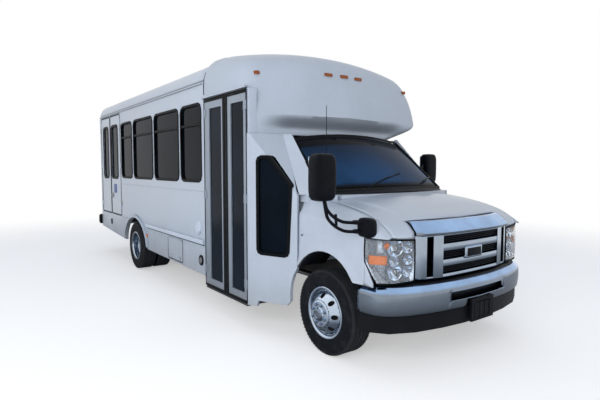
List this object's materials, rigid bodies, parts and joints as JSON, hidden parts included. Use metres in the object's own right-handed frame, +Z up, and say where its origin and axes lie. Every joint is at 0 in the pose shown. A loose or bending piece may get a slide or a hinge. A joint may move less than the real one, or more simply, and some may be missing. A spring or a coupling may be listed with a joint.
{
  "type": "cutaway shuttle minibus",
  "caption": "White cutaway shuttle minibus with a raised front cap, double entry door, double lift doors, chrome grille and bumper, and dual rear wheels.",
  "frame": {"origin": "on the ground under the middle of the whole bus", "axes": "+X forwards, +Y to the left side, +Z up"},
  "size_m": [7.55, 2.69, 2.9173],
  "materials": {
    "white_body": "glossy white",
    "black_trim": "satin black",
    "dark_glass": "dark tint",
    "screen_glass": "clear with a light tint",
    "floor_covering": "ribbed dark grey sheet",
    "lamp_lens": "clear moulded lens",
    "chrome": "bright plated",
    "chassis_black": "black chassis paint",
    "cast_metal": "rough cast",
    "bare_steel": "brushed",
    "seat_cloth": "woven dark blue grey",
    "lift_metal": "dark powder coat",
    "grey_plastic": "grained grey",
    "door_metal": "silver grey frame",
    "amber_lens": "amber, red at the rear",
    "tyre": "black rubber"
  },
  "bodies": {
    "coach": {"side_wall_left": "white_body", "side_wall_right": "white_body", "rear_wall": "white_body", "roof_panel": "white_body", "front_cap": "white_body", "cab_panel_right": "white_body", "cab_panel_left": "white_body", "window_frames": "black_trim", "side_glass": "dark_glass", "floor_deck": "floor_covering", "floor_wells": "floor_covering", "fenders": "white_body", "headlamps": "lamp_lens", "grille": "chrome", "front_bumper": "chrome", "bumper_valance": "black_trim", "windshield": "screen_glass", "cab_shell": "white_body", "frame_rails": "chassis_black", "engine_block": "cast_metal", "radiator": "black_trim", "front_axle_beams": "chassis_black", "rear_axle": "chassis_black", "drive_shaft": "chassis_black", "exhaust_system": "bare_steel", "fuel_tank": "chassis_black", "driver_seat": "seat_cloth", "passenger_seats": "seat_cloth", "grab_rails": "bare_steel", "wheelchair_lift": "lift_metal", "dashboard": "grey_plastic", "mirror_right": "black_trim", "body_trim": "white_body", "rear_bumper": "black_trim", "body_lamps": "amber_lens"},
    "knuckle_right": {"knuckle_right": "cast_metal"},
    "knuckle_left": {"knuckle_left": "cast_metal"},
    "steering_wheel": {"steering_wheel": "black_trim"},
    "wheel_front_right": {"tyre_front_right": "tyre", "rim_front_right": "chrome"},
    "wheel_front_left": {"tyre_front_left": "tyre", "rim_front_left": "chrome"},
    "wheels_rear_right": {"tyres_rear_right": "tyre", "rims_rear_right": "chrome"},
    "wheels_rear_left": {"tyres_rear_left": "tyre", "rims_rear_left": "chrome"},
    "entry_rear": {"entry_leaf_rear": "door_metal", "entry_glass_rear": "dark_glass"},
    "entry_front": {"entry_leaf_front": "door_metal", "entry_glass_front": "dark_glass"},
    "lift_rear": {"lift_leaf_rear": "white_body", "lift_glass_rear": "dark_glass"},
    "lift_front": {"lift_leaf_front": "white_body", "lift_glass_front": "dark_glass"},
    "driver_door_body": {"driver_door": "white_body", "driver_door_glass": "dark_glass", "mirror_left": "black_trim"},
    "hood_body": {"hood": "white_body"},
    "locker_lid": {"compartment_door": "white_body"}
  },
  "joints": [
    {"name": "steer_right", "type": "hinge", "parent": "coach", "child": "knuckle_right", "pos_m": [2.905, -0.735, 0.365], "axis": [0, 0, 1], "range_deg": [-32, 32]},
    {"name": "steer_left", "type": "hinge", "parent": "coach", "child": "knuckle_left", "pos_m": [2.905, 0.735, 0.365], "axis": [0, 0, 1], "range_deg": [-32, 32]},
    {"name": "steering_wheel_turn", "type": "hinge", "parent": "coach", "child": "steering_wheel", "pos_m": [2.215, 0.4, 1.4], "axis": [-0.722, 0, 0.6919], "range_deg": [-520, 520]},
    {"name": "front_right_spin", "type": "hinge", "parent": "knuckle_right", "child": "wheel_front_right", "pos_m": [2.905, -0.88, 0.365], "axis": [0, 1, 0], "continuous": true},
    {"name": "front_left_spin", "type": "hinge", "parent": "knuckle_left", "child": "wheel_front_left", "pos_m": [2.905, 0.88, 0.365], "axis": [0, 1, 0], "continuous": true},
    {"name": "rear_right_spin", "type": "hinge", "parent": "coach", "child": "wheels_rear_right", "pos_m": [-1.565, -0.9825, 0.365], "axis": [0, 1, 0], "continuous": true},
    {"name": "rear_left_spin", "type": "hinge", "parent": "coach", "child": "wheels_rear_left", "pos_m": [-1.565, 0.9825, 0.365], "axis": [0, 1, 0], "continuous": true},
    {"name": "entry_rear_swing", "type": "hinge", "parent": "coach", "child": "entry_rear", "pos_m": [1.0585, -1.2263, 1.3], "axis": [0, 0, -1], "range_deg": [0, 88]},
    {"name": "entry_front_swing", "type": "hinge", "parent": "coach", "child": "entry_front", "pos_m": [2.0015, -1.2263, 1.3], "axis": [0, 0, 1], "range_deg": [0, 88]},
    {"name": "lift_rear_swing", "type": "hinge", "parent": "coach", "child": "lift_rear", "pos_m": [-3.5415, -1.2263, 1.65], "axis": [0, 0, -1], "range_deg": [0, 95]},
    {"name": "lift_front_swing", "type": "hinge", "parent": "coach", "child": "lift_front", "pos_m": [-2.2905, -1.2263, 1.65], "axis": [0, 0, 1], "range_deg": [0, 95]},
    {"name": "driver_door_swing", "type": "hinge", "parent": "coach", "child": "driver_door_body", "pos_m": [2.5325, 1.0073, 1], "axis": [0, 0, -1], "range_deg": [0, 65]},
    {"name": "hood_lift", "type": "hinge", "parent": "coach", "child": "hood_body", "pos_m": [2.755, 0, 1.34], "axis": [0, -1, 0], "range_deg": [0, 50]},
    {"name": "locker_lift", "type": "hinge", "parent": "coach", "child": "locker_lid", "pos_m": [0.122, -1.2263, 0.6915], "axis": [-1, 0, 0], "range_deg": [0, 90]}
  ],
  "couplings": [
    {"joint": "steer_left", "follows": "steer_right", "ratio": 1},
    {"joint": "steering_wheel_turn", "follows": "steer_right", "ratio": 16},
    {"joint": "entry_front_swing", "follows": "entry_rear_swing", "ratio": 1}
  ]
}
